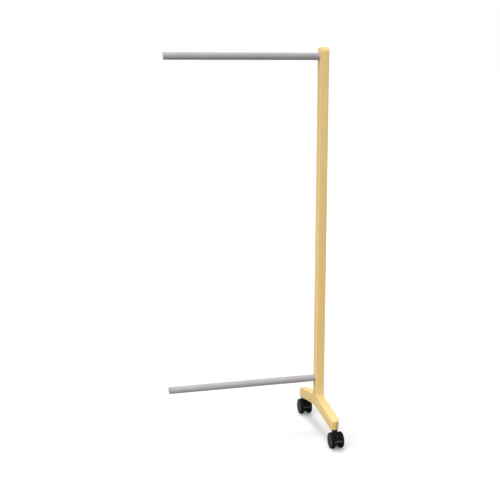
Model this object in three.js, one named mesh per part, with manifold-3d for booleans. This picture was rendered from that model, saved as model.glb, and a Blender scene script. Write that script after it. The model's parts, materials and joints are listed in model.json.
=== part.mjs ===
// Add-on bay of a rolling partition: one wooden stanchion with two splayed legs, on two braked
// twin-wheel casters, and two steel rails that reach across to the stanchion of the next bay.
// Millimetres, +Z up. X runs along the rails, Y from the front leg to the rear leg. The floor is
// z = 0 and the origin is the middle of the bay's outline on the floor.
import * as THREE from "three";
import { mergeVertices } from "three/addons/utils/BufferGeometryUtils.js";
import Module from "manifold-3d";

const wasm = await Module();
wasm.setup();

// ---- driving dimensions ----
const fit = 0.3; // gap left between pieces that seat on each other

const railSpacing = 1500; // between the two rails' centrelines
const lowerRailHeight = 256;
const railLength = 703;
const railDiameter = 32;
const railWall = 1.5;

const postWidth = 40; // along X
const postDepth = 45; // along Y
const postAboveRail = 41;
const edgeRound = 2.5; // the softened long edges of the wood

const stemSpread = 227; // from the post's axis to each caster's stem
const legFillet = 24; // where a leg's top sweeps up into the post
const legTop = { height: 168.2, slope: 0.119, droop: 0.00025 };
const legUnderside = { height: 116.6, slope: 0.105, droop: 0.00028 };
const legEnd = { centre: 220, overhang: 5.7 }; // of its underside; its top reaches further out
const casterSeat = 80.2; // height of the flat under each leg's end

const wheelRadius = 37.5;
const wheelWidth = 18.5;
const wheelInset = 10.7; // from the caster's middle plane to a wheel's inner face
const casterTrail = 20; // the axle lies this far behind the stem
const wheelFacets = 36;
const brakePivot = { y: -38, z: 56 }; // from the stem's axis and the floor
const pedalReach = 68.5; // from the stem's axis to the pedal's front edge

// ---- worked out from them ----
const postTop = lowerRailHeight + railSpacing + postAboveRail;
const upperRailHeight = lowerRailHeight + railSpacing;
const halfWidth = postWidth / 2;
const halfDepth = postDepth / 2;
const legStart = halfDepth + fit;
const axleHeight = wheelRadius * Math.cos(Math.PI / wheelFacets); // a flat of each tyre lies on the floor

// ---- geometry helpers ----

// A closed geometry as a solid that can be joined and cut.
function solidOf(geometry) {
  const bare = geometry.clone();
  bare.deleteAttribute("normal");
  bare.deleteAttribute("uv");
  const merged = mergeVertices(bare, 1e-4);
  const corners = merged.index.array;
  const kept = [];
  for (let i = 0; i < corners.length; i += 3) {
    const [a, b, c] = corners.slice(i, i + 3);
    if (a !== b && b !== c && c !== a) kept.push(a, b, c);
  }
  const vertProperties = new Float32Array(merged.attributes.position.array);
  return new wasm.Manifold(new wasm.Mesh({ numProp: 3, vertProperties, triVerts: new Uint32Array(kept) }));
}

function geometryOf(solid) {
  const { vertProperties, triVerts } = solid.getMesh();
  const geometry = new THREE.BufferGeometry();
  geometry.setAttribute("position", new THREE.BufferAttribute(new Float32Array(vertProperties), 3));
  geometry.setIndex([...triVerts]);
  geometry.computeVertexNormals();
  return geometry;
}

function joined(...geometries) {
  return geometryOf(geometries.map(solidOf).reduce((whole, next) => whole.add(next)));
}

function cutBy(geometry, ...tools) {
  return geometryOf(tools.map(solidOf).reduce((whole, next) => whole.subtract(next), solidOf(geometry)));
}

// A form turned about Z from [radius, height] points that run up its outside.
function turned(profile, facets) {
  const points = profile.map(([radius, height]) => new THREE.Vector2(radius, height));
  return new THREE.LatheGeometry(points, facets).rotateX(Math.PI / 2);
}

// The same about X, and about Y.
function turnedAlongX(profile, facets) {
  return turned(profile, facets).rotateY(Math.PI / 2);
}

function turnedAlongY(profile, facets) {
  return turned(profile, facets).rotateX(-Math.PI / 2);
}

// A ring's profile for turned(), from its inner and outer radius and its two ends.
function ringProfile(inner, outer, low, high) {
  return [[inner, low], [outer, low], [outer, high], [inner, high], [inner, low]];
}

function rodProfile(radius, low, high) {
  return [[0, low], [radius, low], [radius, high], [0, high]];
}

// Points along an arc in the Y-Z plane, angles in degrees from +Y towards +Z.
function arc(y, z, radius, from, to, steps) {
  return Array.from({ length: steps + 1 }, (_, i) => {
    const angle = THREE.MathUtils.degToRad(from + ((to - from) * i) / steps);
    return new THREE.Vector2(y + radius * Math.cos(angle), z + radius * Math.sin(angle));
  });
}

const at = (y, z) => new THREE.Vector2(y, z);

// An outline of points in the Y-Z plane, made as wide as given along X, with its edges softened.
function sideProfile(outline, width, round = 0, roundSteps = 1) {
  const geometry = new THREE.ExtrudeGeometry(new THREE.Shape(outline), {
    depth: width - 2 * round,
    bevelEnabled: round > 0,
    bevelThickness: round,
    bevelSize: round,
    bevelOffset: -round,
    bevelSegments: roundSteps,
  });
  geometry.translate(0, 0, round - width / 2);
  const yzx = new THREE.Matrix4().set(0, 0, 1, 0, 1, 0, 0, 0, 0, 1, 0, 0, 0, 0, 0, 1);
  return geometry.applyMatrix4(yzx);
}

// A skin over closed rings of points that mirror each other across x = 0, capped at both ends.
function lofted(rings) {
  const count = rings[0].length;
  const positions = rings.flat().flatMap((p) => [p.x, p.y, p.z]);
  const faces = [];
  for (let i = 0; i + 1 < rings.length; i++) {
    for (let j = 0; j < count; j++) {
      const a = i * count + j;
      const b = i * count + ((j + 1) % count);
      faces.push(a, a + count, b, b, a + count, b + count);
    }
  }
  const end = (rings.length - 1) * count;
  for (let j = 0; j < count / 2 - 1; j++) {
    const [a, b, c, d] = [j, j + 1, count - 2 - j, count - 1 - j];
    faces.push(a, b, d, b, c, d);
    faces.push(end + a, end + d, end + b, end + b, end + d, end + c);
  }
  const geometry = new THREE.BufferGeometry();
  geometry.setAttribute("position", new THREE.Float32BufferAttribute(positions, 3));
  geometry.setIndex(faces);
  geometry.computeVertexNormals();
  return geometry;
}

// ---- materials ----
const palette = {
  wood: { color: 0xdbbd80, roughness: 0.55, metalness: 0 },
  paintedSteel: { color: 0xa6a3a8, roughness: 0.4, metalness: 0.2 },
  zincSteel: { color: 0xb9bcc0, roughness: 0.35, metalness: 1 },
  blackNylon: { color: 0x17171a, roughness: 0.45, metalness: 0 },
  greyNylon: { color: 0x2b2b2e, roughness: 0.5, metalness: 0 },
  tyre: { color: 0x0e0e10, roughness: 0.75, metalness: 0 },
  capPlastic: { color: 0xa39a86, roughness: 0.5, metalness: 0 },
};

function piece(name, geometry, finish) {
  const mesh = new THREE.Mesh(geometry, new THREE.MeshStandardMaterial(palette[finish]));
  mesh.name = name;
  return mesh;
}

// ---- stanchion ----
const dowel = { radius: 6, halfLength: 50, heights: [128, 150] };
const railBolt = { radius: 4, headRadius: 6.5, headHeight: 5, end: -44 };
const boltPocket = { radius: 9, depth: 12 };
const stemInsert = { radius: 7.5, bore: 5.3, top: 104 };

// The post's side outline from its arched foot, between the legs, up to the head that is given.
function postOutline(head) {
  const archRadius = 195;
  const springing = legUnderside.height - legUnderside.slope * halfDepth;
  const spread = THREE.MathUtils.radToDeg(Math.asin(halfDepth / archRadius));
  const archCentre = springing - Math.sqrt(archRadius ** 2 - halfDepth ** 2);
  return [...arc(0, archCentre, archRadius, 90 + spread, 90 - spread, 4), ...head];
}

function makePost() {
  const roundHead = arc(0, postTop - halfDepth, halfDepth, 0, 180, 16);
  const shaft = sideProfile(postOutline(roundHead), postWidth, edgeRound, 2);
  const squareHead = [at(halfDepth, filletTop), at(-halfDepth, filletTop)];
  const squareFoot = sideProfile(postOutline(squareHead), postWidth);
  const holes = dowel.heights.map((height) =>
    turnedAlongY(rodProfile(dowel.radius + fit, -postDepth, postDepth), 16).translate(0, 0, height));
  for (const height of [lowerRailHeight, upperRailHeight]) {
    holes.push(turnedAlongX(rodProfile(railBolt.radius + fit, -postWidth, postWidth), 16).translate(0, 0, height));
    const pocket = rodProfile(boltPocket.radius, halfWidth - boltPocket.depth, postWidth);
    holes.push(turnedAlongX(pocket, 20).translate(0, 0, height));
  }
  return cutBy(joined(shaft, squareFoot), ...holes);
}

// A leg's upper and lower edge, seen from the side, y from the post's axis.
const topAt = (y) => legTop.height - legTop.slope * y - legTop.droop * y * y;
const undersideAt = (y) =>
  Math.max(casterSeat, legUnderside.height - legUnderside.slope * y - legUnderside.droop * y * y);

// The unit normal of an edge at y, pointing up (side 1) or down (side -1).
function edgeNormal(edge, y, side) {
  const step = 0.5;
  const rise = (edge(y + step) - edge(y - step)) / (2 * step);
  return new THREE.Vector3(0, -rise, 1).normalize().multiplyScalar(side);
}

// The fillet between a leg's top and the post. Its arc starts where the leg stands a hair proud
// of the post's face and ends where it runs out into the leg's top; angles are from vertical.
const fillet = (() => {
  const feather = 0.6;
  const y = legStart + legFillet;
  const foot = edgeNormal(topAt, y, 1);
  const start = Math.asin(1 - feather / legFillet);
  return { y, z: topAt(y) + legFillet / foot.z, start, end: Math.atan2(foot.y, foot.z) };
})();
const filletTop = fillet.z - legFillet * Math.cos(fillet.start);

// One station of the leg's skin: its corner points at the top and the underside, their normals,
// and the way out of the leg in plan.
function legStation(x, y, topHeight, topNormal, out, overhang = 0) {
  return {
    top: new THREE.Vector3(x, y + overhang, topHeight),
    topNormal,
    bottom: new THREE.Vector3(x, y, undersideAt(y)),
    bottomNormal: edgeNormal(undersideAt, y, -1),
    out,
  };
}

function legStations() {
  const sideways = new THREE.Vector3(1, 0, 0);
  const stations = [];
  const filletSteps = 5;
  for (let i = 0; i <= filletSteps; i++) {
    const turn = THREE.MathUtils.lerp(fillet.start, fillet.end, i / filletSteps);
    const normal = new THREE.Vector3(0, Math.sin(turn), Math.cos(turn));
    const y = fillet.y - legFillet * normal.y;
    stations.push(legStation(halfWidth, y, fillet.z - legFillet * normal.z, normal, sideways));
  }
  const seatStart = 218.9; // the underside runs level from here on
  for (const y of [75, 105, 135, 165, 195, seatStart]) {
    stations.push(legStation(halfWidth, y, topAt(y), edgeNormal(topAt, y, 1), sideways));
  }
  const endSteps = 5; // the end is a half circle in plan
  for (let i = 0; i < endSteps; i++) {
    const turn = ((Math.PI / 2) * (2 * (endSteps - i) - 1)) / (2 * endSteps);
    const out = new THREE.Vector3(Math.sin(turn), Math.cos(turn), 0);
    const y = legEnd.centre + halfWidth * out.y;
    const topY = y + legEnd.overhang;
    const topNormal = edgeNormal(topAt, topY, 1);
    stations.push(legStation(halfWidth * out.x, y, topAt(topY), topNormal, out, legEnd.overhang));
  }
  return stations;
}

// The ring of skin points at a station: up the right side round both edges, down the left.
function legRing({ top, topNormal, bottom, bottomNormal, out }) {
  const rise = [0, 45, 90].map(THREE.MathUtils.degToRad);
  const corner = (point, normal, angle) =>
    point.clone()
      .addScaledVector(out, edgeRound * (Math.cos(angle) - 1))
      .addScaledVector(normal, edgeRound * (Math.sin(angle) - 1));
  const right = [
    ...rise.toReversed().map((angle) => corner(bottom, bottomNormal, angle)),
    ...rise.map((angle) => corner(top, topNormal, angle)),
  ];
  const left = right.toReversed().map((p) => new THREE.Vector3(-p.x, p.y, p.z));
  return [...right, ...left];
}

// A leg that runs towards +Y, butted on the post's rear face.
function makeLeg() {
  const rings = legStations().map(legRing);
  const tail = rings[0].map((p) => new THREE.Vector3(p.x, p.y - 12, p.z));
  const skin = lofted([tail, ...rings]);
  const beyondPost = new THREE.BoxGeometry(100, 100, 400).translate(0, legStart - 50, 100);
  const dowelHoles = dowel.heights.map((height) =>
    turnedAlongY(rodProfile(dowel.radius + fit, 0, dowel.halfLength + 1), 16).translate(0, 0, height));
  const stemHole = turned(rodProfile(stemInsert.radius + fit, 0, stemInsert.top + 2), 20)
    .translate(0, stemSpread, 0);
  return cutBy(skin, beyondPost, ...dowelHoles, stemHole);
}

function makeDowel(height) {
  const end = dowel.halfLength;
  const chamfer = 1.5;
  const profile = [
    [0, -end], [dowel.radius - chamfer, -end], [dowel.radius, chamfer - end],
    [dowel.radius, end - chamfer], [dowel.radius - chamfer, end], [0, end],
  ];
  return turnedAlongY(profile, 16).translate(0, 0, height);
}

// ---- rails and their fastenings ----
const plugLength = 28;

function makeRail() {
  const outer = railDiameter / 2;
  return turnedAlongX(ringProfile(outer - railWall, outer, -railLength, 0), 32);
}

// A threaded plug pressed into a rail's end, its face flush with the tube.
function makeRailPlug() {
  const radius = railDiameter / 2 - railWall - fit;
  return turnedAlongX(ringProfile(railBolt.radius + fit, radius, -plugLength, 0), 24);
}

function makeRailBolt(head) {
  const { radius, headRadius, headHeight, end } = railBolt;
  const profile = [
    [0, end], [radius, end], [radius, head], [headRadius, head],
    [headRadius, head + headHeight - 0.8], [headRadius - 0.8, head + headHeight], [0, head + headHeight],
  ];
  return turnedAlongX(profile, 20);
}

// The cap that closes the bolt's pocket, a low dome with a spigot behind it.
function makeBoltCap() {
  const profile = [
    [0, -4.5], [boltPocket.radius - fit, -4.5], [boltPocket.radius - fit, fit], [12.5, fit],
    [12.5, 2.4], [11.8, 3.5], [9.6, 4.1], [0, 4.3],
  ];
  return turnedAlongX(profile, 24).translate(halfWidth, 0, 0);
}

function makeRailSet(name, height) {
  const set = new THREE.Group();
  const washerFace = halfWidth - boltPocket.depth + fit;
  const washer = { inner: railBolt.radius + fit, outer: 8.4, thickness: 1.6 };
  const face = -halfWidth - fit; // the rail butts on this side of the post
  const rail = piece(`${name}_rail`, makeRail(), "paintedSteel");
  const innerPlug = piece(`${name}_rail_inner_plug`, makeRailPlug(), "zincSteel");
  const outerPlug = piece(`${name}_rail_outer_plug`, makeRailPlug(), "paintedSteel");
  rail.position.x = face;
  innerPlug.position.x = face;
  outerPlug.position.x = face - railLength + plugLength;
  const washerRing = ringProfile(washer.inner, washer.outer, washerFace, washerFace + washer.thickness);
  set.add(
    rail,
    innerPlug,
    outerPlug,
    piece(`${name}_rail_washer`, turnedAlongX(washerRing, 20), "zincSteel"),
    piece(`${name}_rail_bolt`, makeRailBolt(washerFace + washer.thickness + fit), "zincSteel"),
    piece(`${name}_rail_bolt_cap`, makeBoltCap(), "capPlastic"),
  );
  set.position.z = height;
  return set;
}

// ---- casters: the stem's axis is x = y = 0, the axle lies behind it towards -Y ----
const housing = { width: 18.4, hood: 36.5, web: 27.5, neckRadius: 15, neckLow: 75.9, slot: 11, bore: 5.4 };
const axle = { radius: 4, headRadius: 6.5, headInner: 25.4, headOuter: 26.8 };
const stem = { radius: 5, low: 45, high: 103 };
const pedal = { armWidth: 10, treadWidth: 40, pin: 1.5, boss: 5.5 };

// The moulded housing: a hood over the gap between the wheels, a web that fills the gap below it,
// a round neck under the leg and a slot in front for the brake pedal.
function makeHousing() {
  const { width, hood, web, neckRadius, neckLow, slot, bore } = housing;
  const outline = [
    at(11, neckLow),
    at(-12, neckLow),
    ...arc(-casterTrail, axleHeight, hood, 77, 165, 9),
    ...arc(-casterTrail, axleHeight, web, 195, 345, 10),
    at(11, 50),
  ];
  const body = sideProfile(outline, width, 1);
  const neck = turned([[0, neckLow - 6], [9, neckLow - 6], [9, neckLow - 0.2], [neckRadius - 1, neckLow],
    [neckRadius, neckLow + 1], [neckRadius, casterSeat - fit - 0.6], [neckRadius - 0.6, casterSeat - fit],
    [0, casterSeat - fit]], 24);
  const hubFace = wheelInset + 0.4 - fit;
  const axleBoss = turnedAlongX(rodProfile(9, -hubFace, hubFace), 16).translate(0, -casterTrail, axleHeight);
  const pedalSlot = new THREE.BoxGeometry(slot, 60, 60).translate(0, -60, 60);
  const stemBore = turned(rodProfile(bore, stem.low - 1, 100), 16);
  const axleBore = turnedAlongX(rodProfile(axle.radius + fit, -20, 20), 16).translate(0, -casterTrail, axleHeight);
  const pinBore = turnedAlongX(rodProfile(pedal.pin + fit, -20, 20), 12).translate(0, brakePivot.y, brakePivot.z);
  return cutBy(joined(body, neck, axleBoss), pedalSlot, stemBore, axleBore, pinBore);
}

// The brake pedal: an arm in the housing's slot that carries on the hood's curve, and a wide
// tread whose heel closes on both tyres when the pedal is pressed.
function makePedal() {
  const { y, z } = brakePivot;
  const arm = [
    ...arc(y, z, pedal.boss, 250, 415, 8),
    ...arc(-casterTrail, axleHeight, housing.hood - 0.5, 117, 156, 4),
    at(-62, 47.6),
    at(-62, 44.3),
    at(-54, 44.3),
    at(-48, 45),
  ];
  const nose = { radius: 1.9, height: 44.2 };
  const tread = [
    at(-60.2, 48.6),
    ...arc(nose.radius - pedalReach, nose.height, nose.radius, 112, 255, 5),
    at(-60.45, 43.9),
  ];
  const pinBore = turnedAlongX(rodProfile(pedal.pin + fit, -20, 20), 12).translate(0, y, z);
  return cutBy(
    joined(sideProfile(arm, pedal.armWidth, 0.8), sideProfile(tread, pedal.treadWidth, 0.6)),
    pinBore,
  );
}

// A wheel's moulded core, inner face at height 0: hub, dished web with ribs behind it, and rim.
function makeWheelCore() {
  const dish = turned([
    [axle.radius + fit, 0.4], [9, 0.4], [9, 10.5], [28.5, 11.5], [28.5, 1], [32, 1],
    [32, 16.1], [28.5, 16.1], [28.5, 14.4], [axle.radius + fit, 14.4], [axle.radius + fit, 0.4],
  ], 24);
  const ribs = [];
  const ribCount = 6;
  for (let i = 0; i < ribCount; i++) {
    const rib = new THREE.BoxGeometry(21.5, 1.6, 8.5);
    ribs.push(rib.translate(18.5, 0, 7.45).rotateZ(((i + 0.5) * 2 * Math.PI) / ribCount));
  }
  return joined(dish, ...ribs);
}

function makeTyre() {
  const inner = 32 + fit;
  const profile = [
    [inner, 0.3], [34, 0.3], [36.3, 2.6], [wheelRadius, 6.6], [wheelRadius, wheelWidth - 6.6],
    [36.3, wheelWidth - 2.3], [34, wheelWidth], [inner, wheelWidth], [inner, 0.3],
  ];
  return turned(profile, wheelFacets).rotateZ(Math.PI / wheelFacets);
}

// The disc that snaps over a wheel's outer side, slightly dished in its middle.
function makeWheelCap() {
  const profile = [
    [0, 16.4], [31.7, 16.4], [31.7, 17.1], [30.5, 17.7], [13, wheelWidth], [11.4, 17.6], [0, 17.6],
  ];
  return turned(profile, 28);
}

function makeAxle() {
  const { radius, headRadius, headInner, headOuter } = axle;
  const bevel = 0.5;
  const profile = [
    [0, -headOuter], [headRadius - bevel, -headOuter], [headRadius, bevel - headOuter], [headRadius, -headInner],
    [radius, -headInner], [radius, headInner], [headRadius, headInner],
    [headRadius, headOuter - bevel], [headRadius - bevel, headOuter], [0, headOuter],
  ];
  return turnedAlongX(profile, 16).translate(0, -casterTrail, axleHeight);
}

function makeStem() {
  const { radius, low, high } = stem;
  const groove = { low: low + 5, high: low + 7, radius: radius - 1 };
  const profile = [
    [0, low], [radius - 1, low], [radius, low + 1], [radius, groove.low], [groove.radius, groove.low],
    [groove.radius, groove.high], [radius, groove.high], [radius, high - 1], [radius - 1, high], [0, high],
  ];
  return turned(profile, 16);
}

function makeStemInsert() {
  const { radius, bore, top } = stemInsert;
  return turned(ringProfile(bore, radius, casterSeat + fit, top), 16);
}

function makeCaster(name) {
  const caster = new THREE.Group();
  const pin = turnedAlongX(rodProfile(pedal.pin, -8.8, 8.8), 12).translate(0, brakePivot.y, brakePivot.z);
  caster.add(
    piece(`${name}_stem_insert`, makeStemInsert(), "zincSteel"),
    piece(`${name}_stem`, makeStem(), "zincSteel"),
    piece(`${name}_housing`, makeHousing(), "blackNylon"),
    piece(`${name}_axle`, makeAxle(), "zincSteel"),
    piece(`${name}_brake_pedal`, makePedal(), "blackNylon"),
    piece(`${name}_brake_pin`, pin, "zincSteel"),
  );
  for (const [side, direction] of [["left", -1], ["right", 1]]) {
    const wheel = new THREE.Group();
    wheel.add(
      piece(`${name}_${side}_wheel`, makeWheelCore(), "blackNylon"),
      piece(`${name}_${side}_tyre`, makeTyre(), "tyre"),
      piece(`${name}_${side}_wheel_cap`, makeWheelCap(), "greyNylon"),
    );
    wheel.rotation.y = (direction * Math.PI) / 2; // the wheel's axis turns from Z to its own side
    wheel.position.set(direction * wheelInset, -casterTrail, axleHeight);
    caster.add(wheel);
  }
  return caster;
}

// ---- assembly ----
const bay = new THREE.Group();
bay.add(piece("post", makePost(), "wood"));
bay.add(piece("rear_leg", makeLeg(), "wood"));
bay.add(piece("front_leg", makeLeg().rotateZ(Math.PI), "wood"));
dowel.heights.forEach((height, i) => {
  bay.add(piece(["lower_leg_dowel", "upper_leg_dowel"][i], makeDowel(height), "wood"));
});
bay.add(makeRailSet("lower", lowerRailHeight), makeRailSet("upper", upperRailHeight));
for (const [name, y] of [["front_caster", -stemSpread], ["rear_caster", stemSpread]]) {
  const caster = makeCaster(name);
  caster.position.y = y;
  bay.add(caster);
}

// The bay's outline on the floor, whose middle is the origin.
const outlineOnFloor = new THREE.Box3().setFromObject(bay);
const middle = outlineOnFloor.getCenter(new THREE.Vector3());
bay.position.set(-middle.x, -middle.y, 0);

const rollingPartition = new THREE.Group();
rollingPartition.add(bay);
export default rollingPartition;
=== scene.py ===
import json
import math

import bmesh
import bpy
from mathutils import Euler, Matrix, Vector

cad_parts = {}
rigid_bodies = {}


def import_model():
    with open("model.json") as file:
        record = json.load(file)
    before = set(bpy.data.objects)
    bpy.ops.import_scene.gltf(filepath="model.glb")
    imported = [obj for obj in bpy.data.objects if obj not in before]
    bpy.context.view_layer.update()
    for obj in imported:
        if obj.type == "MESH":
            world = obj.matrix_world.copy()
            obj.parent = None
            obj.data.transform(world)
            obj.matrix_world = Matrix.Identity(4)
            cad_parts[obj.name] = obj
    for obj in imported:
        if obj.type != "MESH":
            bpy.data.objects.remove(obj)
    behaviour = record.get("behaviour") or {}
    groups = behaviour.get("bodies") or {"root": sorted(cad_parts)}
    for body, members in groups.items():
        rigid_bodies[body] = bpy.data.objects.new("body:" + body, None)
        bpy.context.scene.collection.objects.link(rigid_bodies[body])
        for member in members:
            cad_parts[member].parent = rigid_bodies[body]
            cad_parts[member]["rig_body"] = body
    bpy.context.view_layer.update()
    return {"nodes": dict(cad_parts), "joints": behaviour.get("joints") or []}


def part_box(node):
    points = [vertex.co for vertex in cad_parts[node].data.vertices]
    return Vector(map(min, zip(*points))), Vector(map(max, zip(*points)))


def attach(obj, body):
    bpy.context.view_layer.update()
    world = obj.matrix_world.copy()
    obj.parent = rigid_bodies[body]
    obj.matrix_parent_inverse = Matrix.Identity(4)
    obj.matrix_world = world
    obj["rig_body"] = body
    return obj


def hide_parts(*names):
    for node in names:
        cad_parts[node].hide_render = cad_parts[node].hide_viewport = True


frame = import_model()
mm = 0.001  # shapes are drawn in mm and turned to metres as they are placed
joints = {joint["name"]: joint for joint in frame["joints"]}
print("frame loaded with", len(frame["nodes"]), "nodes")


def nodeBox(node):
    low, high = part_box(node)
    return low / mm, high / mm


def nodeMiddle(node):
    low, high = nodeBox(node)
    return [(a + b) / 2 for a, b in zip(low, high)]


def jointPoint(name):
    return Vector(joints[name]["pos_m"]) / mm


# the camera stands where the photo was taken from
cameraView = {
    "place": (-1.07015, -3.99056, 1.7108),
    "tilt": 78.864,
    "turn": -15.02,
    "lens": 67.05,
    "sensor": 36,
}


def makeCamera():
    data = bpy.data.cameras.new("camera")
    data.lens = cameraView["lens"]
    data.sensor_width = cameraView["sensor"]
    camera = bpy.data.objects.new("camera", data)
    camera.location = cameraView["place"]
    camera.rotation_euler = (math.radians(cameraView["tilt"]), 0, math.radians(cameraView["turn"]))
    bpy.context.scene.collection.objects.link(camera)
    bpy.context.scene.camera = camera


makeCamera()
print("camera placed")


class Wire:
    # one output of a node; sums and products with wires and numbers add Math nodes
    def __init__(self, sheet, socket):
        self.sheet = sheet
        self.socket = socket

    def __add__(self, other):
        return self.sheet.maths("ADD", self, other)

    def __sub__(self, other):
        return self.sheet.maths("SUBTRACT", self, other)

    def __rsub__(self, other):
        return self.sheet.maths("SUBTRACT", other, self)

    def __mul__(self, other):
        return self.sheet.maths("MULTIPLY", self, other)

    def __truediv__(self, other):
        return self.sheet.maths("DIVIDE", self, other)

    __radd__ = __add__
    __rmul__ = __mul__

    def smooth(self, low, high):
        # 0 below low, 1 above high, eased in between
        return self.sheet.add("ShaderNodeMapRange", {"interpolation_type": "SMOOTHSTEP"},
                              {"Value": self, "From Min": low, "From Max": high})


class NodeSheet:
    # a node tree that is filled node by node
    def __init__(self, tree):
        self.tree = tree

    def add(self, kind, settings=None, sockets=None, output=0):
        node = self.tree.nodes.new(kind)
        for key, value in (settings or {}).items():
            if key == "stops":
                self.setStops(node.color_ramp, value)
            else:
                setattr(node, key, value)
        for key, value in (sockets or {}).items():
            self.feed(node.inputs[key], value)
        return Wire(self, node.outputs[output])

    def feed(self, socket, value):
        if isinstance(value, Wire):
            self.tree.links.new(value.socket, socket)
        else:
            socket.default_value = value

    def setStops(self, ramp, stops):
        while len(ramp.elements) < len(stops):
            ramp.elements.new(1)
        for element, (position, value) in zip(ramp.elements, stops):
            element.position = position
            element.color = (value, value, value, 1)

    def maths(self, operation, *terms):
        return self.add("ShaderNodeMath", {"operation": operation}, dict(enumerate(terms)))

    def vectors(self, operation, *terms, output=0):
        return self.add("ShaderNodeVectorMath", {"operation": operation}, dict(enumerate(terms)), output)

    def blendColours(self, share, first, second):
        # a Mix node takes colours at its sockets 6 and 7 and gives one at its output 2
        return self.add("ShaderNodeMix", {"data_type": "RGBA"}, {0: share, 6: first, 7: second}, 2)

    def noise(self, place, scale, detail, stretch=(1, 1, 1)):
        # stretch slows the pattern down along an axis, as a fibre is long along the grain
        stretched = self.vectors("MULTIPLY", place, stretch)
        return self.add("ShaderNodeTexNoise", {}, {"Vector": stretched, "Scale": scale, "Detail": detail})

    def bump(self, height, depth):
        return self.add("ShaderNodeBump", {}, {"Height": height, "Distance": depth})


def colour(red, green, blue):
    # an sRGB colour, 0 to 255, as the linear colour a shader takes
    def linear(value):
        share = value / 255
        return share / 12.92 if share <= 0.04045 else ((share + 0.055) / 1.055) ** 2.4
    return (linear(red), linear(green), linear(blue), 1)


def newFinish(name):
    material = bpy.data.materials.new(name)
    material.use_nodes = True
    sheet = NodeSheet(material.node_tree)
    place = sheet.add("ShaderNodeTexCoord", output="Object")
    return material, sheet, place


def finishShader(sheet, settings):
    shader = sheet.tree.nodes["Principled BSDF"]
    for key, value in settings.items():
        sheet.feed(shader.inputs[key], value)


woodLook = {
    "pale": colour(244, 216, 151),
    "latewood": colour(232, 193, 120),
    "warm": colour(238, 196, 119),
    "endGrain": colour(214, 178, 114),
    "fleck": colour(196, 150, 88),
    "ringWidth": 3.4 * mm,
    "ringStops": [(0, 0.05), (0.5, 0.2), (0.86, 1), (0.97, 0.75), (1, 0.05)],  # a ring from its inside out
    "pithPlace": (0.031, 0.083, 0),  # the tree's middle, outside the piece
    "pithDrift": 0.006,  # how much the way along the grain adds to the distance from it
    "ringWander": 0.014,
    "ringShare": 0.42,
    "fibreShare": 0.3,
    "streakShare": 0.34,
    "fleckShare": 0.3,
    "endGrainShare": 0.4,
    # each pattern's scale, detail and stretch along the grain
    "wander": (7, 2, 0.12),
    "streaks": (75, 4, 0.018),
    "bands": (26, 2, 0.03),
    "fibres": (900, 3, 0.02),
    "flecks": (1300, 1, 0.16),
    "fibreRelief": 0.035 * mm,
    "roughness": 0.46,
    "gloss": 0.22,
    "coat": 0.05,
    "coatRoughness": 0.35,
}


def woodFinish(name, origin, turn):
    # pale close-grained wood; turn brings Z to the way the grain runs
    look = woodLook
    material, sheet, place = newFinish(name)
    rotation = Euler([math.radians(angle) for angle in turn])
    grainPlace = sheet.add("ShaderNodeMapping", {"vector_type": "TEXTURE"},
                           {"Vector": place, "Location": origin, "Rotation": rotation})

    def grained(pattern):
        scale, detail, along = look[pattern]
        return sheet.noise(grainPlace, scale, detail, (1, 1, along))
    wander = grained("wander") - 0.5
    acrossGrain = sheet.vectors("MULTIPLY", grainPlace, (1, 1, look["pithDrift"]))
    fromPith = sheet.vectors("DISTANCE", acrossGrain, look["pithPlace"], output="Value")
    ringPhase = sheet.maths("FRACT", (fromPith + wander * look["ringWander"]) / look["ringWidth"])
    rings = sheet.add("ShaderNodeValToRGB", {"stops": look["ringStops"]}, {0: ringPhase})
    streaks = grained("streaks").smooth(0.3, 0.72)
    bands = grained("bands").smooth(0.35, 0.7)
    fibres = grained("fibres")
    flecks = grained("flecks").smooth(0.64, 0.74)
    normal = sheet.add("ShaderNodeTexCoord", output="Normal")
    grainWay = rotation.to_matrix() @ Vector((0, 0, 1))
    alongGrain = sheet.vectors("DOT_PRODUCT", normal, grainWay, output="Value")
    cutAcross = sheet.maths("ABSOLUTE", alongGrain).smooth(0.62, 0.97)

    ringed = rings * look["ringShare"] + (fibres - 0.5) * look["fibreShare"]
    face = sheet.blendColours(ringed, look["pale"], look["latewood"])
    face = sheet.blendColours(streaks * look["streakShare"], face, look["latewood"])
    face = sheet.blendColours(bands * look["streakShare"], face, look["warm"])
    face = sheet.blendColours(flecks * look["fleckShare"] * (1 - cutAcross), face, look["fleck"])
    face = sheet.blendColours(cutAcross * look["endGrainShare"], face, look["endGrain"])
    bump = sheet.bump(fibres + rings * 0.3 - flecks * 0.6, look["fibreRelief"])
    finishShader(sheet, {
        "Base Color": face,
        "Roughness": look["roughness"] + fibres * 0.12 + cutAcross * 0.15,
        "Specular IOR Level": look["gloss"],
        "Coat Weight": look["coat"],
        "Coat Roughness": look["coatRoughness"],
        "Normal": bump,
    })
    return material


paintLook = {
    "light": colour(182, 179, 182),
    "shade": colour(172, 169, 173),
    "clouds": (14, 3),  # a pattern's scale and detail
    "peel": (700, 2),
    "grit": (3200, 1),
    "gritShare": 0.25,
    "relief": 0.02 * mm,
    "roughness": 0.5,
    "gloss": 0.1,
}


def paintFinish(name):
    # powder coat: an orange-peel skin with a fine grit in it
    look = paintLook
    material, sheet, place = newFinish(name)
    clouds = sheet.noise(place, *look["clouds"])
    peel = sheet.noise(place, *look["peel"])
    grit = sheet.noise(place, *look["grit"])
    mottle = (clouds * 0.7 + grit * 0.5 - 0.1).smooth(0.25, 0.75)
    skin = sheet.blendColours(mottle, look["light"], look["shade"])
    bump = sheet.bump(peel + grit * look["gritShare"], look["relief"])
    finishShader(sheet, {
        "Base Color": skin,
        "Roughness": look["roughness"] + (peel - 0.5) * 0.2,
        "Specular IOR Level": look["gloss"],
        "Normal": bump,
    })
    return material


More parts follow.
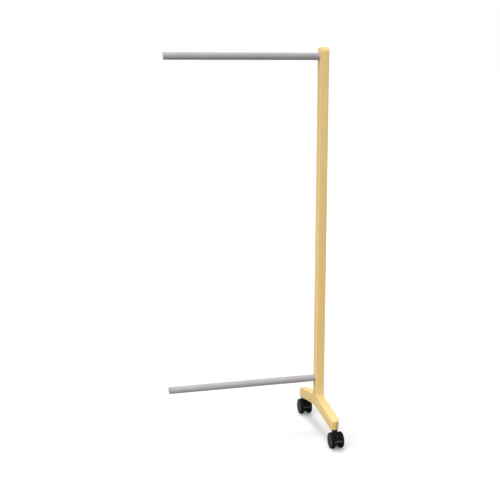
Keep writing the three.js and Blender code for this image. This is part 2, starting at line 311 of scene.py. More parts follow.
plasticLook = {
    "blackNylon": {
        "dark": colour(10, 10, 11), "light": colour(20, 20, 22),
        "roughness": 0.44, "gloss": 0.09, "relief": 0.018 * mm},
    "charcoalNylon": {
        "dark": colour(22, 22, 24), "light": colour(33, 33, 36),
        "roughness": 0.42, "gloss": 0.05, "relief": 0.015 * mm},
    "capPlastic": {
        "dark": colour(172, 164, 150), "light": colour(190, 183, 170),
        "roughness": 0.45, "gloss": 0.4, "relief": 0.01 * mm},
}
# scale, detail and stretch of the marks that a mould leaves
mouldMarks = {"grain": (2400, 2), "flow": (60, 3, (1, 1, 0.35))}
# a painted highlight on a pedal's front, standing in for the light it catches: how far in front of the stem
# that starts and is complete, and its pale colour
paintedTreadHighlight = {"start": 57 * mm, "end": 61 * mm, "pale": colour(50, 50, 53)}


def plasticFinish(name, highlightFrom=None):
    # moulded plastic with a fine spark-eroded grain and faint flow marks; given a place along Y, a pale
    # painted highlight is laid in front of it, for the light a pedal's front catches
    look = plasticLook[name]
    material, sheet, place = newFinish(name if highlightFrom is None else name + "Worn")
    grain = sheet.noise(place, *mouldMarks["grain"])
    flow = sheet.noise(place, *mouldMarks["flow"])
    skin = sheet.blendColours((flow * 0.75 + grain * 0.35).smooth(0.3, 0.8), look["dark"], look["light"])
    if highlightFrom is not None:
        # painted highlight: the pedal's front is painted pale in front of the given place, standing in for
        # the light it catches
        forward = highlightFrom - sheet.add("ShaderNodeSeparateXYZ", {}, {0: place}, "Y")
        highlit = forward.smooth(paintedTreadHighlight["start"], paintedTreadHighlight["end"]) * (0.7 + flow * 0.3 + grain * 0.2)
        skin = sheet.blendColours(highlit, skin, paintedTreadHighlight["pale"])
    bump = sheet.bump(grain, look["relief"])
    finishShader(sheet, {
        "Base Color": skin,
        "Roughness": look["roughness"] + (flow - 0.5) * 0.14,
        "Specular IOR Level": look["gloss"],
        "Normal": bump,
    })
    return material


tyreLook = {
    "side": colour(15, 15, 16),
    "tread": colour(24, 24, 25),
    "dust": colour(50, 49, 48),
    "rolledBand": (1.1 * mm, 0.2 * mm),  # how far under the tread's radius the grey starts and is complete
    "clouds": (130, 4),  # a pattern's scale and detail
    "grain": (1900, 2),
    "relief": 0.03 * mm,
    "roughness": 0.62,
    "gloss": 0.04,
}


def tyreFinish(name, axleCentre, treadRadius):
    # soft tread, greyed a little where it rolls
    look = tyreLook
    material, sheet, place = newFinish(name)
    inWheelPlane = sheet.vectors("MULTIPLY", sheet.vectors("SUBTRACT", place, axleCentre), (0, 1, 1))
    radius = sheet.vectors("LENGTH", inWheelPlane, output="Value")
    rolled = radius.smooth(*[treadRadius - depth for depth in look["rolledBand"]])
    clouds = sheet.noise(place, *look["clouds"])
    grain = sheet.noise(place, *look["grain"])
    skin = sheet.blendColours(rolled * (0.45 + clouds * 0.5), look["side"], look["tread"])
    skin = sheet.blendColours(rolled * clouds.smooth(0.52, 0.75) * 0.25, skin, look["dust"])
    bump = sheet.bump(grain + clouds * rolled, look["relief"])
    finishShader(sheet, {
        "Base Color": skin,
        "Roughness": look["roughness"] + rolled * 0.12 + (grain - 0.5) * 0.15,
        "Specular IOR Level": look["gloss"],
        "Normal": bump,
    })
    return material


zincLook = {
    "bright": colour(222, 224, 228),
    "dull": colour(186, 187, 184),
    "clouds": (220, 4),  # a pattern's scale, detail and stretch
    "scratches": (1600, 2, (0.1, 1, 1)),
    "relief": 0.012 * mm,
    "roughness": 0.3,
}


def zincFinish(name):
    # bright zinc plate with a cloudy passivation
    look = zincLook
    material, sheet, place = newFinish(name)
    clouds = sheet.noise(place, *look["clouds"])
    scratches = sheet.noise(place, *look["scratches"])
    skin = sheet.blendColours(clouds.smooth(0.3, 0.75), look["bright"], look["dull"])
    bump = sheet.bump(scratches, look["relief"])
    finishShader(sheet, {
        "Base Color": skin,
        "Metallic": 1.0,
        "Roughness": look["roughness"] + clouds * 0.18,
        "Normal": bump,
    })
    return material


# corners are (u, v), or (u, v, radius) where the corner becomes an arc, with a point just before and
# after it that keeps the shading of the flats beside it flat
def rounded(corners, steps=5):
    lead = 0.12  # how far those two points stand off the arc, for a radius of 1
    outline = []
    for i, corner in enumerate(corners):
        u, v, radius = (*corner, 0)[:3]
        corner = Vector((u, v))
        if radius == 0:
            outline.append(corner)
            continue
        back = (Vector(corners[i - 1][:2]) - corner).normalized()
        ahead = (Vector(corners[(i + 1) % len(corners)][:2]) - corner).normalized()
        half = back.angle(ahead) / 2
        centre = corner + (back + ahead).normalized() * (radius / math.sin(half))
        reach = radius / math.tan(half)
        start = corner + back * reach - centre
        end = corner + ahead * reach - centre
        outline.append(corner + back * (reach + lead * radius))
        outline += [centre + start.slerp(end, step / steps) * radius for step in range(steps + 1)]
        outline.append(corner + ahead * (reach + lead * radius))
    return outline


def arc(u, v, radius, fromAngle, toAngle, steps):
    angles = [math.radians(fromAngle + (toAngle - fromAngle) * step / steps) for step in range(steps + 1)]
    return [Vector((u + radius * math.cos(angle), v + radius * math.sin(angle))) for angle in angles]


def newMesh(name, points, faces):
    mesh = bpy.data.meshes.new(name)
    mesh.from_pydata([tuple(point) for point in points], [], faces)
    mesh.update()
    return mesh


axisLimit = 1e-6  # a smaller radius counts as a point on the axis


# a solid turned about Z; its (radius, height) outline is drawn counterclockwise, and starts and ends
# on the axis or goes round a bore
def turnedMesh(name, profile, facets=96):
    points, rings, faces = [], [], []
    for radius, height in profile:
        if radius < axisLimit:
            rings.append([len(points)] * facets)
            points.append((0, 0, height))
            continue
        rings.append(list(range(len(points), len(points) + facets)))
        turns = [2 * math.pi * i / facets for i in range(facets)]
        points += [(radius * math.cos(turn), radius * math.sin(turn), height) for turn in turns]
    onAxis = profile[0][0] < axisLimit
    pairs = list(zip(rings, rings[1:])) + ([] if onAxis else [(rings[-1], rings[0])])
    for low, high in pairs:
        for i in range(facets):
            j = (i + 1) % facets
            corners = list(dict.fromkeys([low[i], low[j], high[j], high[i]]))
            if len(corners) > 2:
                faces.append(corners)
    return newMesh(name, points, faces)


# an outline in the Y-Z plane, drawn counterclockwise, made as wide as given along X and softened at
# both rims; softness is a radius, or a function that gives it for an outline point
def softPlate(name, outline, width, softness, steps=4):
    count = len(outline)
    radii = [softness(point) if callable(softness) else softness for point in outline]
    inward = []
    for i, point in enumerate(outline):
        before = (point - outline[i - 1]).normalized()
        after = (outline[(i + 1) % count] - point).normalized()
        out = Vector((before.y + after.y, -before.x - after.x))
        inward.append(-out / (1 + before.dot(after)))
    lead = 1.15  # the flats beside a rim start this far in, for a softness of 1
    turns = [math.pi / 2 * step / steps for step in range(steps + 1)]
    section = [(0, lead), *[(1 - math.cos(turn), 1 - math.sin(turn)) for turn in turns], (lead, 0)]
    points, faces = [], []
    for side in (-1, 1):
        for depth, inset in (section if side < 0 else reversed(section)):
            for i, point in enumerate(outline):
                flat = point + inward[i] * (inset * radii[i])
                points.append((side * (width / 2 - depth * radii[i]), flat.x, flat.y))
    ringCount = len(points) // count
    for ring in range(ringCount - 1):
        for i in range(count):
            j = (i + 1) % count
            a, b = ring * count, (ring + 1) * count
            faces.append((a + i, a + j, b + j, b + i))
    faces.append(list(range(count))[::-1])
    faces.append(list(range((ringCount - 1) * count, ringCount * count)))
    return newMesh(name, points, faces)


# joins or cuts a mesh by others, with Blender's exact solver
def combined(base, operation, tools):
    hosts = [bpy.data.objects.new(mesh.name, mesh) for mesh in [base, *tools]]
    for host in hosts:
        bpy.context.scene.collection.objects.link(host)
    for tool in hosts[1:]:
        modifier = hosts[0].modifiers.new(operation, "BOOLEAN")
        modifier.operation = operation
        modifier.solver = "EXACT"
        modifier.object = tool
    result = bpy.data.meshes.new_from_object(hosts[0].evaluated_get(bpy.context.evaluated_depsgraph_get()))
    result.name = base.name
    for host in hosts:
        bpy.data.objects.remove(host)
    return result


def moved(mesh, x=0, y=0, z=0, turn=0, axis="X"):
    # turns a mesh by degrees about an axis, then shifts it
    turning = Matrix.Rotation(math.radians(turn), 4, axis)
    mesh.transform(Matrix.Translation((x, y, z)) @ turning)
    return mesh


def rod(name, radius, low, high, facets=48):
    return turnedMesh(name, [(0, low), (radius, low), (radius, high), (0, high)], facets)


def newBox(name, low, high):
    shape = bmesh.new()
    bmesh.ops.create_cube(shape, size=1)
    box = bpy.data.meshes.new(name)
    shape.to_mesh(box)
    shape.free()
    size = Vector(high) - Vector(low)
    middle = (Vector(high) + Vector(low)) / 2
    box.transform(Matrix.Translation(middle) @ Matrix.Diagonal((*size, 1)))
    return box


creaseAngle = math.radians(32)
weldDistance = 1e-7  # in metres


# places a finished mesh as a piece: it stands for a CAD node and rides on that node's body
def keepPiece(name, mesh, node, finish):
    mesh.transform(Matrix.Scale(mm, 4))
    shape = bmesh.new()
    shape.from_mesh(mesh)
    bmesh.ops.remove_doubles(shape, verts=shape.verts, dist=weldDistance)
    for face in shape.faces:
        face.smooth = True
    for edge in shape.edges:
        edge.smooth = len(edge.link_faces) == 2 and edge.calc_face_angle() < creaseAngle
    shape.to_mesh(mesh)
    shape.free()
    mesh.materials.clear()
    mesh.materials.append(finish)
    piece = bpy.data.objects.new(name, mesh)
    bpy.context.scene.collection.objects.link(piece)
    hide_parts(node)
    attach(piece, frame["nodes"][node]["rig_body"])


# a Geometry Nodes tree with named inputs, each given as its kind of socket
def newTree(name, **inputs):
    tree = bpy.data.node_groups.new(name, "GeometryNodeTree")
    tree.interface.new_socket("Mesh", in_out="OUTPUT", socket_type="NodeSocketGeometry")
    inputs["Finish"] = "Material"
    for label, kind in inputs.items():
        tree.interface.new_socket(label, in_out="INPUT", socket_type=f"NodeSocket{kind}")
    sheet = NodeSheet(tree)
    entry = tree.nodes.new("NodeGroupInput")
    return sheet, {label: Wire(sheet, entry.outputs[label]) for label in inputs}


def closeTree(sheet, mesh, finish):
    real = sheet.add("GeometryNodeRealizeInstances", {}, {0: mesh})
    painted = sheet.add("GeometryNodeSetMaterial", {}, {"Geometry": real, "Material": finish})
    end = sheet.tree.nodes.new("NodeGroupOutput")
    sheet.tree.links.new(painted.socket, end.inputs[0])
    return sheet.tree


# runs a tree once with the values given and keeps the result as a plain mesh
def grown(name, tree, values):
    host = bpy.data.objects.new(name, bpy.data.meshes.new(name))
    bpy.context.scene.collection.objects.link(host)
    modifier = host.modifiers.new(name, "NODES")
    modifier.node_group = tree
    for socket in tree.interface.items_tree:
        if socket.in_out == "INPUT":
            modifier[socket.identifier] = values[socket.name]
    mesh = bpy.data.meshes.new_from_object(host.evaluated_get(bpy.context.evaluated_depsgraph_get()))
    mesh.name = name
    bpy.data.objects.remove(host)
    return mesh


# merges meshes into one, each shell kept as it is
def merged(name, *meshes):
    shape = bmesh.new()
    for mesh in meshes:
        shape.from_mesh(mesh)
    whole = bpy.data.meshes.new(name)
    shape.to_mesh(whole)
    shape.free()
    return whole


# y is counted from the post's axis along the leg
legShape = {
    # the two edges seen from the side: height on the post's axis, slope and droop
    "top": (168.2, 0.119, 0.00025),
    "underside": (116.6, 0.105, 0.00028),
    "startInside": 12,  # the leg is drawn from inside the post and cut off at its face
    "fillet": 24,
    "feather": 0.6,  # the fillet ends this far out from the post's face
    "edgeRound": 2.5,
    "endCentre": 220,
    "endRadius": 19.7,
    "endRound": 4.5,
    "overhang": 5.7,  # how far the end's top stands out over its underside
    "overhangStart": 196,
    "filletSteps": 16,
    "runSteps": 40,
    "endSteps": 18,
    "cornerSteps": 6,
    "stemHole": (7.8, 106),  # radius, and height of its top
    "tiltSpan": (60, 200),  # the grain lies along the top between these places
}
postShape = {
    "archRadius": 195,
    "archSteps": 14,
    "headSteps": 48,
    "edgeRound": 2.5,
    "footRound": 0.05,  # between the legs the edges are sharp
    "footSeam": 0.4,  # and they start to soften this far under the fillets' tops
    "dowelHole": 6.3,
    "dowelPlay": 1,  # the holes go this much further than the dowels
    "boltHole": 4.3,
    "pocket": (9, 12),  # radius and depth
}

postLow, postHigh = nodeBox("post")
postAxis = Vector((*nodeMiddle("post")[:2], 0))
halfWidth = (postHigh.x - postLow.x) / 2
halfDepth = (postHigh.y - postLow.y) / 2
legLow = nodeBox("rear_leg")[0]
legStart = legLow.y - postAxis.y
stemSpread = jointPoint("rear_caster_swivel").y - postAxis.y


def edgeHeight(edge, y):
    height, slope, droop = legShape[edge]
    free = height - slope * y - droop * y * y
    return free if edge == "top" else max(free, legLow.z)


def edgeNormal(edge, y):
    rise = edgeHeight(edge, y + 0.5) - edgeHeight(edge, y - 0.5)
    return Vector((0, -rise, 1)).normalized() * (1 if edge == "top" else -1)


# the sweep from a leg's top up into the post, as its centre and the angles, from vertical, of its ends
def legFillet():
    radius = legShape["fillet"]
    y = legStart + radius
    foot = edgeNormal("top", y)
    centre = Vector((0, y, edgeHeight("top", y) + radius / foot.z))
    return centre, math.asin(1 - legShape["feather"] / radius), math.atan2(foot.y, foot.z)


# the points round a leg where its side stands at x; its top may lie further out than its underside
def legRing(x, lowY, top, topNormal, out, lowRound):
    def corner(point, normal, softness, angle):
        turn = math.radians(angle)
        return point + out * (softness * (math.cos(turn) - 1)) + normal * (softness * (math.sin(turn) - 1))
    angles = [90 * step / legShape["cornerSteps"] for step in range(legShape["cornerSteps"] + 1)]
    low = Vector((x, lowY, edgeHeight("underside", lowY)))
    lowNormal = edgeNormal("underside", lowY)
    right = [corner(low, lowNormal, lowRound, angle) for angle in reversed(angles)]
    right += [corner(Vector((x, *top)), topNormal, legShape["edgeRound"], angle) for angle in angles]
    return right + [Vector((-p.x, p.y, p.z)) for p in reversed(right)]


def legRings():
    look = legShape
    sideways = Vector((1, 0, 0))
    radius = look["fillet"]
    centre, start, end = legFillet()
    rings = []
    for step in range(look["filletSteps"] + 1):
        turn = start + (end - start) * step / look["filletSteps"]
        normal = Vector((0, math.sin(turn), math.cos(turn)))
        y = centre.y - radius * normal.y
        top = (y, centre.z - radius * normal.z)
        rings.append(legRing(halfWidth, y, top, normal, sideways, look["edgeRound"]))
    runStart = y

    def addRing(x, y, out, share):
        topY = y + look["overhang"] * share
        top = (topY, edgeHeight("top", topY))
        lowRound = look["edgeRound"] + (look["endRound"] - look["edgeRound"]) * share
        rings.append(legRing(x, y, top, edgeNormal("top", topY), out, lowRound))
    for step in range(1, look["runSteps"] + 1):
        y = runStart + (look["endCentre"] - runStart) * step / look["runSteps"]
        share = max(0, (y - look["overhangStart"]) / (look["endCentre"] - look["overhangStart"]))
        addRing(halfWidth, y, sideways, share)
    endSteps = look["endSteps"]
    for step in range(endSteps):  # the end is a half circle in plan
        turn = math.pi / 2 * (2 * (endSteps - step) - 1) / (2 * endSteps)
        out = Vector((math.sin(turn), math.cos(turn), 0))
        addRing(halfWidth * out.x, look["endCentre"] + look["endRadius"] * out.y, out, 1)
    return [[p + Vector((0, -look["startInside"], 0)) for p in rings[0]]] + rings


def makeLeg(name, node, turn, finish):
    rings = legRings()
    count = len(rings[0])
    faces = []
    for ring in range(len(rings) - 1):
        for i in range(count):
            a, b = ring * count + i, ring * count + (i + 1) % count
            faces.append((a, a + count, b + count, b))
    last = (len(rings) - 1) * count
    for i in range(count // 2 - 1):  # strips close both ends
        a, b, c, d = i, i + 1, count - 2 - i, count - 1 - i
        faces.append((a, b, c, d))
        faces.append((last + a, last + d, last + c, last + b))
    leg = newMesh(name, [point for ring in rings for point in ring], faces)
    shape = bmesh.new()
    shape.from_mesh(leg)
    butt = bmesh.ops.bisect_plane(shape, geom=shape.verts[:] + shape.edges[:] + shape.faces[:],
                                  plane_co=(0, legStart, 0), plane_no=(0, 1, 0), clear_inner=True)
    cutEdges = [part for part in butt["geom_cut"] if isinstance(part, bmesh.types.BMEdge)]
    bmesh.ops.contextual_create(shape, geom=cutEdges)
    bmesh.ops.recalc_face_normals(shape, faces=shape.faces)
    shape.to_mesh(leg)
    shape.free()
    tools = [moved(rod("dowelHole", postShape["dowelHole"], 0, reach, facets=32), z=height, turn=-90)
             for height, reach in dowelReaches]
    radius, holeTop = legShape["stemHole"]
    tools.append(moved(rod("stemHole", radius, 0, holeTop, facets=40), y=stemSpread))
    leg = combined(leg, "DIFFERENCE", tools)
    moved(leg, turn=turn, axis="Z")
    keepPiece(name, moved(leg, postAxis.x, postAxis.y), node, finish)


dowelReaches = []  # each dowel's height, and how far its holes go from the post's axis
for dowelNode in ("lower_leg_dowel", "upper_leg_dowel"):
    reach = nodeBox(dowelNode)[1].y - postAxis.y + postShape["dowelPlay"]
    dowelReaches.append((nodeMiddle(dowelNode)[2], reach))

tiltFrom, tiltTo = legShape["tiltSpan"]
topFall = (edgeHeight("top", tiltFrom) - edgeHeight("top", tiltTo)) / (tiltTo - tiltFrom)
legTilt = math.degrees(math.atan(topFall))
# where each piece's grain pattern is centred, in metres, and its turn in degrees
postWood = woodFinish("postWood", (postAxis.x * mm, postAxis.y * mm, 0.4), (0.5, -0.4, 0))
rearLegWood = woodFinish("rearLegWood", (postAxis.x * mm, 0.15, 0.13), (-90 - legTilt, 0, 24))
frontLegWood = woodFinish("frontLegWood", (postAxis.x * mm, -0.1, 0.13), (90 + legTilt, 0, -17))


def makePost():
    look = postShape
    springing = postLow.z
    spread = math.degrees(math.asin(halfDepth / look["archRadius"]))
    archCentre = springing - math.sqrt(look["archRadius"] ** 2 - halfDepth ** 2)
    centre, start, _ = legFillet()
    filletTop = centre.z - legShape["fillet"] * math.cos(start)
    arch = arc(0, archCentre, look["archRadius"], 90 + spread, 90 - spread, look["archSteps"])
    head = arc(0, postHigh.z - halfDepth, halfDepth, 0, 180, look["headSteps"])
    shoulder = [filletTop - look["footSeam"], filletTop + look["edgeRound"]]
    rightSide = [Vector((halfDepth, z)) for z in shoulder]
    leftSide = [Vector((-halfDepth, z)) for z in reversed(shoulder)]

    def softness(point):
        return look["edgeRound"] if point.y > filletTop else look["footRound"]
    post = softPlate("post", arch + rightSide + head + leftSide, 2 * halfWidth, softness, steps=6)
    through = 2 * halfDepth
    tools = [moved(rod("dowelHole", look["dowelHole"], -through, through, facets=32), z=height, turn=90)
             for height, _ in dowelReaches]
    bolt, (pocket, depth) = look["boltHole"], look["pocket"]
    step, far = halfWidth - depth, 2 * halfWidth
    for node in ("lower_rail", "upper_rail"):
        stepped = [(0, -far), (bolt, -far), (bolt, step), (pocket, step), (pocket, far), (0, far)]
        hole = turnedMesh("boltHole", stepped, facets=48)
        tools.append(moved(hole, z=nodeMiddle(node)[2], turn=90, axis="Y"))
    post = combined(post, "DIFFERENCE", tools)
    keepPiece("postShaft", moved(post, postAxis.x, postAxis.y), "post", postWood)


makePost()
makeLeg("rearSplayedLeg", "rear_leg", 0, rearLegWood)
makeLeg("frontSplayedLeg", "front_leg", 180, frontLegWood)
print("post and legs shaped")


railShape = {
    "wall": 1.5,
    "lip": 0.45,
    "facets": 96,
    "plugBore": 4.3,
    "plugEdge": 0.35,
    "boreEdge": 0.6,
    "threadPitch": 1.25,
    "threadDepth": 0.6,
    "threadSink": 0.15,  # how far its ridge is centred inside the bore's wall
    "threadEnd": 1.5,  # the bore stays plain at least this far from either end
}
railPaint = paintFinish("railPaint")


# a tube about Z: a strip as thick as the wall and as long as the tube, swept round a circle
def tubeTree():
    sheet, wanted = newTree("tube", Radius="Float", Wall="Float", Length="Float", Lip="Float", Facets="Int")
    middle = wanted["Radius"] - wanted["Wall"] * 0.5
    circle = sheet.add("GeometryNodeCurvePrimitiveCircle", {},
                       {"Resolution": wanted["Facets"], "Radius": middle})
    upright = sheet.add("GeometryNodeSetCurveNormal", {"mode": "Z_UP"}, {"Curve": circle})
    strip = sheet.add("GeometryNodeCurvePrimitiveQuadrilateral", {},
                      {"Width": wanted["Wall"], "Height": wanted["Length"]})
    softened = sheet.add("GeometryNodeFilletCurve", {"mode": "POLY"},
                         {"Curve": strip, "Radius": wanted["Lip"], "Count": 4})
    skin = sheet.add("GeometryNodeCurveToMesh", {}, {"Curve": upright, "Profile Curve": softened})
    return closeTree(sheet, skin, wanted["Finish"])


# a thread's three-sided ridge, wound up Z inside a bore
def threadTree():
    sheet, wanted = newTree("thread", Radius="Float", Pitch="Float", Depth="Float", Length="Float")
    spiral = sheet.add("GeometryNodeCurveSpiral", {}, {
        "Resolution": 40, "Rotations": wanted["Length"] / wanted["Pitch"], "Start Radius": wanted["Radius"],
        "End Radius": wanted["Radius"], "Height": wanted["Length"]})
    ridge = sheet.add("GeometryNodeCurvePrimitiveCircle", {}, {"Resolution": 3, "Radius": wanted["Depth"]})
    skin = sheet.add("GeometryNodeCurveToMesh", {},
                     {"Curve": spiral, "Profile Curve": ridge, "Fill Caps": True})
    return closeTree(sheet, skin, wanted["Finish"])


railTube = tubeTree()
boreThread = threadTree()


def makeRail(name, node):
    look = railShape
    low, high = nodeBox(node)
    tube = grown(name, railTube, {
        "Radius": (high.z - low.z) / 2, "Wall": look["wall"], "Length": high.x - low.x,
        "Lip": look["lip"], "Facets": look["facets"], "Finish": railPaint})
    moved(tube, *nodeMiddle(node), 90, "Y")
    keepPiece(name, tube, node, railPaint)


# the plug that closes a rail's free end, its bore threaded for the next stanchion's bolt
def makeRailPlug(name, node):
    look = railShape
    low, high = nodeBox(node)
    length, radius = high.x - low.x, (high.z - low.z) / 2
    edge, bore, chamfer = look["plugEdge"], look["plugBore"], look["boreEdge"]
    body = turnedMesh("plugBody", rounded([
        (bore, chamfer, 0), (bore + chamfer, 0, 0), (radius, 0, edge), (radius, length, edge),
        (bore + chamfer, length, 0), (bore, length - chamfer, 0)]))
    pitch, plain = look["threadPitch"], look["threadEnd"]
    turns = int((length - 2 * plain) / pitch)
    thread = grown("plugThread", boreThread, {
        "Radius": bore + look["threadSink"], "Pitch": pitch, "Depth": look["threadDepth"],
        "Length": turns * pitch, "Finish": railPaint})
    plug = merged(name, body, moved(thread, z=plain))
    moved(plug, low.x, *nodeMiddle(node)[1:], 90, "Y")
    keepPiece(name, plug, node, railPaint)


capShape = {
    "spigot": 8.7,
    "spigotLength": 4.5,
    "spigotEdge": 0.6,
    "seat": 0.3,  # the gap between the brim and the post
    "rimEdge": 0.3,
    "brim": 1.9,
    "brimRound": 1.0,
    "crownStart": (9.4, 3.9, 4),  # radius, height and rounding
    "crown": 4.3,
}
capPlastic = plasticFinish("capPlastic")


# the low dome that closes a bolt's pocket
def makeBoltCap(name, node):
    look = capShape
    low, high = nodeBox(node)
    radius, spigot, seat = (high.z - low.z) / 2, look["spigot"], look["seat"]
    dome = rounded([
        (0, -look["spigotLength"], 0), (spigot, -look["spigotLength"], look["spigotEdge"]),
        (spigot, seat, 0), (radius, seat, look["rimEdge"]), (radius, look["brim"], look["brimRound"]),
        look["crownStart"], (0, look["crown"], 0)], steps=8)
    cap = turnedMesh(name, dome)
    moved(cap, postAxis.x + halfWidth, *nodeMiddle(node)[1:], 90, "Y")
    keepPiece(name, cap, node, capPlastic)


for level in ("lower", "upper"):
    makeRail(f"{level}RailTube", f"{level}_rail")
    makeRailPlug(f"{level}RailEndPlug", f"{level}_rail_outer_plug")
    makeBoltCap(f"{level}BoltCover", f"{level}_rail_bolt_cap")
print("rails and their fittings shaped")


blackNylon = plasticFinish("blackNylon")
charcoalNylon = plasticFinish("charcoalNylon")

# heights are over the floor, and arcs run round the axle in degrees from +Y, away from the pedal
housingShape = {
    "width": 18.4,
    "edgeRound": 1.4,
    "hood": 36.5,
    "hoodArc": (77, 164),
    "web": 27.5,
    "webArc": (195, 345),
    "plainSide": 11,  # the straight side away from the pedal
    "plainSideFoot": (50, 6),  # its foot's height and rounding
    "hoodStart": -12,  # where the hood leaves the neck
    "neckRadius": 15,
    "neckLow": 75.9,
    "neckRoot": (9, 6),  # radius and depth of the neck's part inside the hood
    "overlap": 0.2,  # how far the whole neck reaches into the hood
    "boss": (9, 10.8),  # radius and half the length
    "slot": 11,  # the pedal's slot
    "slotEnd": -30,
    "stemBore": (5.4, 44),  # radius, and height of its foot
    "axleBore": 4.3,
    "pinBore": 1.8,
}
boreReach = 20  # the cross bores are cut this far to each side


# places shared by a caster's pieces, in mm from the stem's axis on the floor
def casterPlaces(end):
    stem = jointPoint(f"{end}_caster_swivel")
    axle = jointPoint(f"{end}_right_wheel_spin") - stem
    pivot = jointPoint(f"{end}_brake_press") - stem
    foot = Vector((stem.x, stem.y, 0))
    return foot, axle.y, axle.z + stem.z, pivot.y, pivot.z + stem.z


def crossRod(name, radius, reach, y, z, facets):
    return moved(rod(name, radius, -reach, reach, facets), y=y, z=z, turn=90, axis="Y")


def makeHousing(end):
    look = housingShape
    foot, axleY, axleZ, pinY, pinZ = casterPlaces(end)
    neckTop = nodeBox(f"{end}_caster_housing")[1].z
    neckLow = look["neckLow"]
    outline = rounded([
        (look["plainSide"], neckLow, 1.2), (look["hoodStart"], neckLow, 0),
        *arc(axleY, axleZ, look["hood"], *look["hoodArc"], 40),
        *arc(axleY, axleZ, look["web"], *look["webArc"], 48),
        (look["plainSide"], *look["plainSideFoot"])], steps=6)
    hood = softPlate("hood", outline, look["width"], look["edgeRound"], steps=5)
    radius, (root, depth), seam = look["neckRadius"], look["neckRoot"], neckLow - look["overlap"]
    neck = turnedMesh("neck", rounded([
        (0, neckLow - depth, 0), (root, neckLow - depth, 0), (root, seam, 0), (radius, seam, 0.9),
        (radius, neckTop, 0.6), (0, neckTop, 0)]), facets=72)
    bossRadius, bossReach = look["boss"]
    boss = crossRod("boss", bossRadius, bossReach, axleY, axleZ, 56)
    # the slot's box and the stem's bore end outside the housing
    slot = newBox("slot", (-look["slot"] / 2, -90, 30), (look["slot"] / 2, look["slotEnd"], 90))
    stemRadius, stemFoot = look["stemBore"]
    stemBore = rod("stemBore", stemRadius, stemFoot, 100, facets=40)
    axleBore = crossRod("axleBore", look["axleBore"], boreReach, axleY, axleZ, 40)
    pinBore = crossRod("pinBore", look["pinBore"], boreReach, pinY, pinZ, 24)
    housing = combined(hood, "UNION", [neck, boss])
    housing = combined(housing, "DIFFERENCE", [slot, stemBore, axleBore, pinBore])
    keepPiece(f"{end}CasterHood", moved(housing, *foot), f"{end}_caster_housing", blackNylon)


pedalShape = {
    "armWidth": 10,
    "armEdge": 1,
    "boss": 5.5,
    "bossArc": (250, 415),  # round the pin
    "hoodGap": 0.5,  # how far the arm's back lies under the hood's curve
    "backArc": (117, 156),  # round the axle
    "armEnd": [(-62, 47.6), (-62, 44.3), (-54, 44.3), (-48, 45)],  # round inside the tread and back
    "treadWidth": 40,
    "treadEdge": 0.9,
    "treadHeel": [(-60.45, 43.9), (-60.2, 48.6)],
    "reach": 68.4,
    "noseRadius": 1.9,
    "noseHeight": 44.2,
    "noseArc": (112, 255),
    "ridges": 4,
    "ridgeRadius": 0.45,
    "ridgeLength": 35,
    "ridgeSink": (0.2, -0.05),  # from the nose's top to the first ridge
    "lastRidge": (-61.2, 48.15),
}


# ridges along X, set out from one point to another
def gripTree():
    sheet, wanted = newTree(
        "grip", Count="Int", Length="Float", Radius="Float", Start="Vector", End="Vector")
    half = wanted["Length"] * 0.5
    left = sheet.add("ShaderNodeCombineXYZ", {}, {"X": half * -1})
    right = sheet.add("ShaderNodeCombineXYZ", {}, {"X": half})
    line = sheet.add("GeometryNodeCurvePrimitiveLine", {}, {"Start": left, "End": right})
    bar = sheet.add("GeometryNodeCurvePrimitiveCircle", {}, {"Resolution": 14, "Radius": wanted["Radius"]})
    ridge = sheet.add("GeometryNodeCurveToMesh", {},
                      {"Curve": line, "Profile Curve": bar, "Fill Caps": True})
    places = sheet.add("GeometryNodeMeshLine", {"mode": "END_POINTS"}, {
        "Count": wanted["Count"], "Start Location": wanted["Start"], "Offset": wanted["End"]})
    ridges = sheet.add("GeometryNodeInstanceOnPoints", {}, {"Points": places, "Instance": ridge})
    return closeTree(sheet, ridges, wanted["Finish"])


treadGrip = gripTree()


def makePedal(end):
    look = pedalShape
    foot, axleY, axleZ, pinY, pinZ = casterPlaces(end)
    # this finish paints a highlight on the pedal's front edge
    finish = plasticFinish("blackNylon", foot.y * mm)
    arm = softPlate("arm", [
        *arc(pinY, pinZ, look["boss"], *look["bossArc"], 30),
        *arc(axleY, axleZ, housingShape["hood"] - look["hoodGap"], *look["backArc"], 24),
        *[Vector(point) for point in look["armEnd"]]], look["armWidth"], look["armEdge"])
    noseRadius = look["noseRadius"]
    nose = arc(noseRadius - look["reach"], look["noseHeight"], noseRadius, *look["noseArc"], 14)
    heelLow, heelHigh = [Vector(point) for point in look["treadHeel"]]
    tread = softPlate("tread", [heelHigh, *nose, heelLow], look["treadWidth"], look["treadEdge"])
    pinBore = crossRod("pinBore", housingShape["pinBore"], boreReach, pinY, pinZ, 24)
    pedal = combined(combined(arm, "UNION", [tread]), "DIFFERENCE", [pinBore])
    sinkY, sinkZ = look["ridgeSink"]
    ridges = grown("ridges", treadGrip, {
        "Count": look["ridges"], "Length": look["ridgeLength"], "Radius": look["ridgeRadius"],
        "Start": (0, nose[0].x + sinkY, nose[0].y + sinkZ), "End": (0, *look["lastRidge"]),
        "Finish": finish})
    pedal = merged(f"{end}BrakeTread", pedal, ridges)
    keepPiece(f"{end}BrakeTread", moved(pedal, *foot), f"{end}_caster_brake_pedal", finish)


